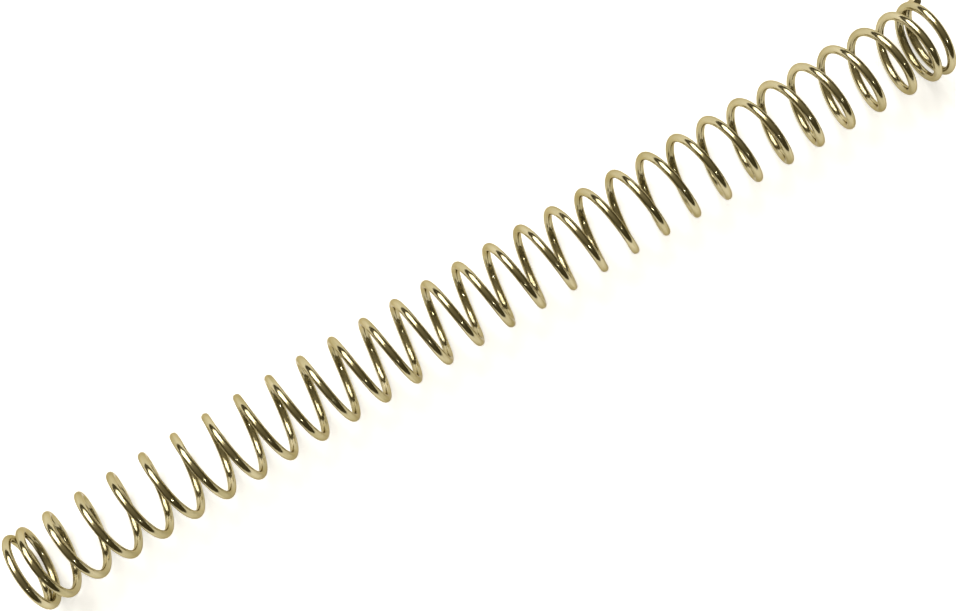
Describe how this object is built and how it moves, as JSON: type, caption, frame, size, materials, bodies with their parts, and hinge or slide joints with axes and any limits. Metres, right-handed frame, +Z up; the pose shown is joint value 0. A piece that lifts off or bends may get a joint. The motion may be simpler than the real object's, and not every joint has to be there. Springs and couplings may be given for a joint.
{
  "type": "compression spring",
  "caption": "Long slender helical compression spring of one round wire, wound right-handed, with closed unground ends; it lies on its side and its coils close up along the axis.",
  "frame": {"origin": "middle of the spring on the surface that it lies on", "axes": "+X along the spring from the fixed end to the free end, +Y to the side, +Z up"},
  "size_m": [0.173, 0.015, 0.014],
  "materials": {
    "spring_wire": "polished, pale gold to straw tint"
  },
  "bodies": {
    "fixed_end": {"fixed_end_coil": "spring_wire"},
    "half_turn_01": {"half_coil_01": "spring_wire"},
    "half_turn_02": {"half_coil_02": "spring_wire"},
    "half_turn_03": {"half_coil_03": "spring_wire"},
    "half_turn_04": {"half_coil_04": "spring_wire"},
    "half_turn_05": {"half_coil_05": "spring_wire"},
    "half_turn_06": {"half_coil_06": "spring_wire"},
    "half_turn_07": {"half_coil_07": "spring_wire"},
    "half_turn_08": {"half_coil_08": "spring_wire"},
    "half_turn_09": {"half_coil_09": "spring_wire"},
    "half_turn_10": {"half_coil_10": "spring_wire"},
    "half_turn_11": {"half_coil_11": "spring_wire"},
    "half_turn_12": {"half_coil_12": "spring_wire"},
    "half_turn_13": {"half_coil_13": "spring_wire"},
    "half_turn_14": {"half_coil_14": "spring_wire"},
    "half_turn_15": {"half_coil_15": "spring_wire"},
    "half_turn_16": {"half_coil_16": "spring_wire"},
    "half_turn_17": {"half_coil_17": "spring_wire"},
    "half_turn_18": {"half_coil_18": "spring_wire"},
    "half_turn_19": {"half_coil_19": "spring_wire"},
    "half_turn_20": {"half_coil_20": "spring_wire"},
    "half_turn_21": {"half_coil_21": "spring_wire"},
    "half_turn_22": {"half_coil_22": "spring_wire"},
    "half_turn_23": {"half_coil_23": "spring_wire"},
    "half_turn_24": {"half_coil_24": "spring_wire"},
    "half_turn_25": {"half_coil_25": "spring_wire"},
    "half_turn_26": {"half_coil_26": "spring_wire"},
    "half_turn_27": {"half_coil_27": "spring_wire"},
    "half_turn_28": {"half_coil_28": "spring_wire"},
    "half_turn_29": {"half_coil_29": "spring_wire"},
    "half_turn_30": {"half_coil_30": "spring_wire"},
    "half_turn_31": {"half_coil_31": "spring_wire"},
    "half_turn_32": {"half_coil_32": "spring_wire"},
    "half_turn_33": {"half_coil_33": "spring_wire"},
    "half_turn_34": {"half_coil_34": "spring_wire"},
    "half_turn_35": {"half_coil_35": "spring_wire"},
    "half_turn_36": {"half_coil_36": "spring_wire"},
    "half_turn_37": {"half_coil_37": "spring_wire"},
    "half_turn_38": {"half_coil_38": "spring_wire"},
    "half_turn_39": {"half_coil_39": "spring_wire"},
    "half_turn_40": {"half_coil_40": "spring_wire"},
    "half_turn_41": {"half_coil_41": "spring_wire"},
    "half_turn_42": {"half_coil_42": "spring_wire"},
    "half_turn_43": {"half_coil_43": "spring_wire"},
    "half_turn_44": {"half_coil_44": "spring_wire"},
    "half_turn_45": {"half_coil_45": "spring_wire"},
    "half_turn_46": {"half_coil_46": "spring_wire"},
    "half_turn_47": {"half_coil_47": "spring_wire"},
    "half_turn_48": {"half_coil_48": "spring_wire"},
    "half_turn_49": {"half_coil_49": "spring_wire"},
    "half_turn_50": {"half_coil_50": "spring_wire"},
    "half_turn_51": {"half_coil_51": "spring_wire"},
    "half_turn_52": {"half_coil_52": "spring_wire"},
    "half_turn_53": {"half_coil_53": "spring_wire"},
    "half_turn_54": {"half_coil_54": "spring_wire"},
    "half_turn_55": {"half_coil_55": "spring_wire"},
    "half_turn_56": {"half_coil_56": "spring_wire"},
    "half_turn_57": {"half_coil_57": "spring_wire"},
    "free_end": {"free_end_coil": "spring_wire"}
  },
  "joints": [
    {"name": "flex_01", "type": "hinge", "parent": "fixed_end", "child": "half_turn_01", "pos_m": [-0.08298, 0.00583, 0.007], "axis": [0, 0, -1], "range_deg": [0, 5.9], "stiffness_Nm_per_rad": 1.5},
    {"name": "flex_02", "type": "hinge", "parent": "half_turn_01", "child": "half_turn_02", "pos_m": [-0.08088, -0.00672, 0.007], "axis": [0, 0, -1], "range_deg": [-14.15, 0], "stiffness_Nm_per_rad": 1.5},
    {"name": "flex_03", "type": "hinge", "parent": "half_turn_02", "child": "half_turn_03", "pos_m": [-0.07823, 0.00595, 0.007], "axis": [0, 0, -1], "range_deg": [0, 17.82], "stiffness_Nm_per_rad": 1.5},
    {"name": "flex_04", "type": "hinge", "parent": "half_turn_03", "child": "half_turn_04", "pos_m": [-0.07531, -0.00659, 0.007], "axis": [0, 0, -1], "range_deg": [-19.15, 0], "stiffness_Nm_per_rad": 1.5},
    {"name": "flex_05", "type": "hinge", "parent": "half_turn_04", "child": "half_turn_05", "pos_m": [-0.07236, 0.00607, 0.007], "axis": [0, 0, -1], "range_deg": [0, 19.26], "stiffness_Nm_per_rad": 1.5},
    {"name": "flex_06", "type": "hinge", "parent": "half_turn_05", "child": "half_turn_06", "pos_m": [-0.06941, -0.00646, 0.007], "axis": [0, 0, -1], "range_deg": [-19.27, 0], "stiffness_Nm_per_rad": 1.5},
    {"name": "flex_07", "type": "hinge", "parent": "half_turn_06", "child": "half_turn_07", "pos_m": [-0.06646, 0.00619, 0.007], "axis": [0, 0, -1], "range_deg": [0, 19.26], "stiffness_Nm_per_rad": 1.5},
    {"name": "flex_08", "type": "hinge", "parent": "half_turn_07", "child": "half_turn_08", "pos_m": [-0.06351, -0.00635, 0.007], "axis": [0, 0, -1], "range_deg": [-19.27, 0], "stiffness_Nm_per_rad": 1.5},
    {"name": "flex_09", "type": "hinge", "parent": "half_turn_08", "child": "half_turn_09", "pos_m": [-0.06056, 0.0063, 0.007], "axis": [0, 0, -1], "range_deg": [0, 19.26], "stiffness_Nm_per_rad": 1.5},
    {"name": "flex_10", "type": "hinge", "parent": "half_turn_09", "child": "half_turn_10", "pos_m": [-0.05761, -0.00625, 0.007], "axis": [0, 0, -1], "range_deg": [-19.27, 0], "stiffness_Nm_per_rad": 1.5},
    {"name": "flex_11", "type": "hinge", "parent": "half_turn_10", "child": "half_turn_11", "pos_m": [-0.05466, 0.0064, 0.007], "axis": [0, 0, -1], "range_deg": [0, 19.26], "stiffness_Nm_per_rad": 1.5},
    {"name": "flex_12", "type": "hinge", "parent": "half_turn_11", "child": "half_turn_12", "pos_m": [-0.05171, -0.00615, 0.007], "axis": [0, 0, -1], "range_deg": [-19.27, 0], "stiffness_Nm_per_rad": 1.5},
    {"name": "flex_13", "type": "hinge", "parent": "half_turn_12", "child": "half_turn_13", "pos_m": [-0.04876, 0.00649, 0.007], "axis": [0, 0, -1], "range_deg": [0, 19.26], "stiffness_Nm_per_rad": 1.5},
    {"name": "flex_14", "type": "hinge", "parent": "half_turn_13", "child": "half_turn_14", "pos_m": [-0.04581, -0.00607, 0.007], "axis": [0, 0, -1], "range_deg": [-19.27, 0], "stiffness_Nm_per_rad": 1.5},
    {"name": "flex_15", "type": "hinge", "parent": "half_turn_14", "child": "half_turn_15", "pos_m": [-0.04286, 0.00657, 0.007], "axis": [0, 0, -1], "range_deg": [0, 19.26], "stiffness_Nm_per_rad": 1.5},
    {"name": "flex_16", "type": "hinge", "parent": "half_turn_15", "child": "half_turn_16", "pos_m": [-0.03991, -0.006, 0.007], "axis": [0, 0, -1], "range_deg": [-19.27, 0], "stiffness_Nm_per_rad": 1.5},
    {"name": "flex_17", "type": "hinge", "parent": "half_turn_16", "child": "half_turn_17", "pos_m": [-0.03696, 0.00664, 0.007], "axis": [0, 0, -1], "range_deg": [0, 19.26], "stiffness_Nm_per_rad": 1.5},
    {"name": "flex_18", "type": "hinge", "parent": "half_turn_17", "child": "half_turn_18", "pos_m": [-0.03401, -0.00593, 0.007], "axis": [0, 0, -1], "range_deg": [-19.27, 0], "stiffness_Nm_per_rad": 1.5},
    {"name": "flex_19", "type": "hinge", "parent": "half_turn_18", "child": "half_turn_19", "pos_m": [-0.03106, 0.00669, 0.007], "axis": [0, 0, -1], "range_deg": [0, 19.26], "stiffness_Nm_per_rad": 1.5},
    {"name": "flex_20", "type": "hinge", "parent": "half_turn_19", "child": "half_turn_20", "pos_m": [-0.02811, -0.00588, 0.007], "axis": [0, 0, -1], "range_deg": [-19.27, 0], "stiffness_Nm_per_rad": 1.5},
    {"name": "flex_21", "type": "hinge", "parent": "half_turn_20", "child": "half_turn_21", "pos_m": [-0.02516, 0.00674, 0.007], "axis": [0, 0, -1], "range_deg": [0, 19.26], "stiffness_Nm_per_rad": 1.5},
    {"name": "flex_22", "type": "hinge", "parent": "half_turn_21", "child": "half_turn_22", "pos_m": [-0.02221, -0.00584, 0.007], "axis": [0, 0, -1], "range_deg": [-19.27, 0], "stiffness_Nm_per_rad": 1.5},
    {"name": "flex_23", "type": "hinge", "parent": "half_turn_22", "child": "half_turn_23", "pos_m": [-0.01926, 0.00678, 0.007], "axis": [0, 0, -1], "range_deg": [0, 19.26], "stiffness_Nm_per_rad": 1.5},
    {"name": "flex_24", "type": "hinge", "parent": "half_turn_23", "child": "half_turn_24", "pos_m": [-0.01631, -0.0058, 0.007], "axis": [0, 0, -1], "range_deg": [-19.27, 0], "stiffness_Nm_per_rad": 1.5},
    {"name": "flex_25", "type": "hinge", "parent": "half_turn_24", "child": "half_turn_25", "pos_m": [-0.01336, 0.00681, 0.007], "axis": [0, 0, -1], "range_deg": [0, 19.26], "stiffness_Nm_per_rad": 1.5},
    {"name": "flex_26", "type": "hinge", "parent": "half_turn_25", "child": "half_turn_26", "pos_m": [-0.01041, -0.00578, 0.007], "axis": [0, 0, -1], "range_deg": [-19.27, 0], "stiffness_Nm_per_rad": 1.5},
    {"name": "flex_27", "type": "hinge", "parent": "half_turn_26", "child": "half_turn_27", "pos_m": [-0.00746, 0.00683, 0.007], "axis": [0, 0, -1], "range_deg": [0, 19.26], "stiffness_Nm_per_rad": 1.5},
    {"name": "flex_28", "type": "hinge", "parent": "half_turn_27", "child": "half_turn_28", "pos_m": [-0.00451, -0.00577, 0.007], "axis": [0, 0, -1], "range_deg": [-19.27, 0], "stiffness_Nm_per_rad": 1.5},
    {"name": "flex_29", "type": "hinge", "parent": "half_turn_28", "child": "half_turn_29", "pos_m": [-0.00156, 0.00683, 0.007], "axis": [0, 0, -1], "range_deg": [0, 19.26], "stiffness_Nm_per_rad": 1.5},
    {"name": "flex_30", "type": "hinge", "parent": "half_turn_29", "child": "half_turn_30", "pos_m": [0.00139, -0.00577, 0.007], "axis": [0, 0, -1], "range_deg": [-19.27, 0], "stiffness_Nm_per_rad": 1.5},
    {"name": "flex_31", "type": "hinge", "parent": "half_turn_30", "child": "half_turn_31", "pos_m": [0.00434, 0.00683, 0.007], "axis": [0, 0, -1], "range_deg": [0, 19.26], "stiffness_Nm_per_rad": 1.5},
    {"name": "flex_32", "type": "hinge", "parent": "half_turn_31", "child": "half_turn_32", "pos_m": [0.00729, -0.00577, 0.007], "axis": [0, 0, -1], "range_deg": [-19.27, 0], "stiffness_Nm_per_rad": 1.5},
    {"name": "flex_33", "type": "hinge", "parent": "half_turn_32", "child": "half_turn_33", "pos_m": [0.01024, 0.00682, 0.007], "axis": [0, 0, -1], "range_deg": [0, 19.26], "stiffness_Nm_per_rad": 1.5},
    {"name": "flex_34", "type": "hinge", "parent": "half_turn_33", "child": "half_turn_34", "pos_m": [0.01319, -0.00579, 0.007], "axis": [0, 0, -1], "range_deg": [-19.27, 0], "stiffness_Nm_per_rad": 1.5},
    {"name": "flex_35", "type": "hinge", "parent": "half_turn_34", "child": "half_turn_35", "pos_m": [0.01614, 0.0068, 0.007], "axis": [0, 0, -1], "range_deg": [0, 19.26], "stiffness_Nm_per_rad": 1.5},
    {"name": "flex_36", "type": "hinge", "parent": "half_turn_35", "child": "half_turn_36", "pos_m": [0.01909, -0.00582, 0.007], "axis": [0, 0, -1], "range_deg": [-19.27, 0], "stiffness_Nm_per_rad": 1.5},
    {"name": "flex_37", "type": "hinge", "parent": "half_turn_36", "child": "half_turn_37", "pos_m": [0.02204, 0.00676, 0.007], "axis": [0, 0, -1], "range_deg": [0, 19.26], "stiffness_Nm_per_rad": 1.5},
    {"name": "flex_38", "type": "hinge", "parent": "half_turn_37", "child": "half_turn_38", "pos_m": [0.02499, -0.00586, 0.007], "axis": [0, 0, -1], "range_deg": [-19.27, 0], "stiffness_Nm_per_rad": 1.5},
    {"name": "flex_39", "type": "hinge", "parent": "half_turn_38", "child": "half_turn_39", "pos_m": [0.02794, 0.00672, 0.007], "axis": [0, 0, -1], "range_deg": [0, 19.26], "stiffness_Nm_per_rad": 1.5},
    {"name": "flex_40", "type": "hinge", "parent": "half_turn_39", "child": "half_turn_40", "pos_m": [0.03089, -0.0059, 0.007], "axis": [0, 0, -1], "range_deg": [-19.27, 0], "stiffness_Nm_per_rad": 1.5},
    {"name": "flex_41", "type": "hinge", "parent": "half_turn_40", "child": "half_turn_41", "pos_m": [0.03384, 0.00667, 0.007], "axis": [0, 0, -1], "range_deg": [0, 19.26], "stiffness_Nm_per_rad": 1.5},
    {"name": "flex_42", "type": "hinge", "parent": "half_turn_41", "child": "half_turn_42", "pos_m": [0.03679, -0.00596, 0.007], "axis": [0, 0, -1], "range_deg": [-19.27, 0], "stiffness_Nm_per_rad": 1.5},
    {"name": "flex_43", "type": "hinge", "parent": "half_turn_42", "child": "half_turn_43", "pos_m": [0.03974, 0.00661, 0.007], "axis": [0, 0, -1], "range_deg": [0, 19.26], "stiffness_Nm_per_rad": 1.5},
    {"name": "flex_44", "type": "hinge", "parent": "half_turn_43", "child": "half_turn_44", "pos_m": [0.04269, -0.00603, 0.007], "axis": [0, 0, -1], "range_deg": [-19.27, 0], "stiffness_Nm_per_rad": 1.5},
    {"name": "flex_45", "type": "hinge", "parent": "half_turn_44", "child": "half_turn_45", "pos_m": [0.04564, 0.00653, 0.007], "axis": [0, 0, -1], "range_deg": [0, 19.26], "stiffness_Nm_per_rad": 1.5},
    {"name": "flex_46", "type": "hinge", "parent": "half_turn_45", "child": "half_turn_46", "pos_m": [0.04859, -0.00611, 0.007], "axis": [0, 0, -1], "range_deg": [-19.27, 0], "stiffness_Nm_per_rad": 1.5},
    {"name": "flex_47", "type": "hinge", "parent": "half_turn_46", "child": "half_turn_47", "pos_m": [0.05154, 0.00645, 0.007], "axis": [0, 0, -1], "range_deg": [0, 19.26], "stiffness_Nm_per_rad": 1.5},
    {"name": "flex_48", "type": "hinge", "parent": "half_turn_47", "child": "half_turn_48", "pos_m": [0.05449, -0.0062, 0.007], "axis": [0, 0, -1], "range_deg": [-19.27, 0], "stiffness_Nm_per_rad": 1.5},
    {"name": "flex_49", "type": "hinge", "parent": "half_turn_48", "child": "half_turn_49", "pos_m": [0.05744, 0.00636, 0.007], "axis": [0, 0, -1], "range_deg": [0, 19.26], "stiffness_Nm_per_rad": 1.5},
    {"name": "flex_50", "type": "hinge", "parent": "half_turn_49", "child": "half_turn_50", "pos_m": [0.06039, -0.00629, 0.007], "axis": [0, 0, -1], "range_deg": [-19.27, 0], "stiffness_Nm_per_rad": 1.5},
    {"name": "flex_51", "type": "hinge", "parent": "half_turn_50", "child": "half_turn_51", "pos_m": [0.06334, 0.00625, 0.007], "axis": [0, 0, -1], "range_deg": [0, 19.26], "stiffness_Nm_per_rad": 1.5},
    {"name": "flex_52", "type": "hinge", "parent": "half_turn_51", "child": "half_turn_52", "pos_m": [0.06629, -0.0064, 0.007], "axis": [0, 0, -1], "range_deg": [-19.27, 0], "stiffness_Nm_per_rad": 1.5},
    {"name": "flex_53", "type": "hinge", "parent": "half_turn_52", "child": "half_turn_53", "pos_m": [0.06924, 0.00614, 0.007], "axis": [0, 0, -1], "range_deg": [0, 19.26], "stiffness_Nm_per_rad": 1.5},
    {"name": "flex_54", "type": "hinge", "parent": "half_turn_53", "child": "half_turn_54", "pos_m": [0.07219, -0.00652, 0.007], "axis": [0, 0, -1], "range_deg": [-19.27, 0], "stiffness_Nm_per_rad": 1.5},
    {"name": "flex_55", "type": "hinge", "parent": "half_turn_54", "child": "half_turn_55", "pos_m": [0.07514, 0.00601, 0.007], "axis": [0, 0, -1], "range_deg": [0, 19.07], "stiffness_Nm_per_rad": 1.5},
    {"name": "flex_56", "type": "hinge", "parent": "half_turn_55", "child": "half_turn_56", "pos_m": [0.07805, -0.00665, 0.007], "axis": [0, 0, -1], "range_deg": [-17.56, 0], "stiffness_Nm_per_rad": 1.5},
    {"name": "flex_57", "type": "hinge", "parent": "half_turn_56", "child": "half_turn_57", "pos_m": [0.08066, 0.00589, 0.007], "axis": [0, 0, -1], "range_deg": [0, 13.97], "stiffness_Nm_per_rad": 1.5},
    {"name": "flex_58", "type": "hinge", "parent": "half_turn_57", "child": "free_end", "pos_m": [0.08275, -0.00676, 0.007], "axis": [0, 0, -1], "range_deg": [-5.81, 0], "stiffness_Nm_per_rad": 1.5}
  ],
  "couplings": [
    {"joint": "flex_02", "follows": "flex_01", "ratio": -2.3982},
    {"joint": "flex_03", "follows": "flex_01", "ratio": 3.0189},
    {"joint": "flex_04", "follows": "flex_01", "ratio": -3.2449},
    {"joint": "flex_05", "follows": "flex_01", "ratio": 3.2639},
    {"joint": "flex_06", "follows": "flex_01", "ratio": -3.2646},
    {"joint": "flex_07", "follows": "flex_01", "ratio": 3.2639},
    {"joint": "flex_08", "follows": "flex_01", "ratio": -3.2646},
    {"joint": "flex_09", "follows": "flex_01", "ratio": 3.2639},
    {"joint": "flex_10", "follows": "flex_01", "ratio": -3.2645},
    {"joint": "flex_11", "follows": "flex_01", "ratio": 3.2639},
    {"joint": "flex_12", "follows": "flex_01", "ratio": -3.2645},
    {"joint": "flex_13", "follows": "flex_01", "ratio": 3.2639},
    {"joint": "flex_14", "follows": "flex_01", "ratio": -3.2645},
    {"joint": "flex_15", "follows": "flex_01", "ratio": 3.2639},
    {"joint": "flex_16", "follows": "flex_01", "ratio": -3.2645},
    {"joint": "flex_17", "follows": "flex_01", "ratio": 3.2639},
    {"joint": "flex_18", "follows": "flex_01", "ratio": -3.2645},
    {"joint": "flex_19", "follows": "flex_01", "ratio": 3.2639},
    {"joint": "flex_20", "follows": "flex_01", "ratio": -3.2645},
    {"joint": "flex_21", "follows": "flex_01", "ratio": 3.2639},
    {"joint": "flex_22", "follows": "flex_01", "ratio": -3.2645},
    {"joint": "flex_23", "follows": "flex_01", "ratio": 3.2639},
    {"joint": "flex_24", "follows": "flex_01", "ratio": -3.2645},
    {"joint": "flex_25", "follows": "flex_01", "ratio": 3.2639},
    {"joint": "flex_26", "follows": "flex_01", "ratio": -3.2645},
    {"joint": "flex_27", "follows": "flex_01", "ratio": 3.2639},
    {"joint": "flex_28", "follows": "flex_01", "ratio": -3.2645},
    {"joint": "flex_29", "follows": "flex_01", "ratio": 3.2639},
    {"joint": "flex_30", "follows": "flex_01", "ratio": -3.2645},
    {"joint": "flex_31", "follows": "flex_01", "ratio": 3.2639},
    {"joint": "flex_32", "follows": "flex_01", "ratio": -3.2645},
    {"joint": "flex_33", "follows": "flex_01", "ratio": 3.2639},
    {"joint": "flex_34", "follows": "flex_01", "ratio": -3.2645},
    {"joint": "flex_35", "follows": "flex_01", "ratio": 3.2639},
    {"joint": "flex_36", "follows": "flex_01", "ratio": -3.2645},
    {"joint": "flex_37", "follows": "flex_01", "ratio": 3.2639},
    {"joint": "flex_38", "follows": "flex_01", "ratio": -3.2645},
    {"joint": "flex_39", "follows": "flex_01", "ratio": 3.2639},
    {"joint": "flex_40", "follows": "flex_01", "ratio": -3.2645},
    {"joint": "flex_41", "follows": "flex_01", "ratio": 3.2639},
    {"joint": "flex_42", "follows": "flex_01", "ratio": -3.2645},
    {"joint": "flex_43", "follows": "flex_01", "ratio": 3.2639},
    {"joint": "flex_44", "follows": "flex_01", "ratio": -3.2645},
    {"joint": "flex_45", "follows": "flex_01", "ratio": 3.2639},
    {"joint": "flex_46", "follows": "flex_01", "ratio": -3.2645},
    {"joint": "flex_47", "follows": "flex_01", "ratio": 3.2639},
    {"joint": "flex_48", "follows": "flex_01", "ratio": -3.2645},
    {"joint": "flex_49", "follows": "flex_01", "ratio": 3.2639},
    {"joint": "flex_50", "follows": "flex_01", "ratio": -3.2645},
    {"joint": "flex_51", "follows": "flex_01", "ratio": 3.2639},
    {"joint": "flex_52", "follows": "flex_01", "ratio": -3.2646},
    {"joint": "flex_53", "follows": "flex_01", "ratio": 3.2639},
    {"joint": "flex_54", "follows": "flex_01", "ratio": -3.2646},
    {"joint": "flex_55", "follows": "flex_01", "ratio": 3.2314},
    {"joint": "flex_56", "follows": "flex_01", "ratio": -2.975},
    {"joint": "flex_57", "follows": "flex_01", "ratio": 2.3676},
    {"joint": "flex_58", "follows": "flex_01", "ratio": -0.98393}
  ]
}
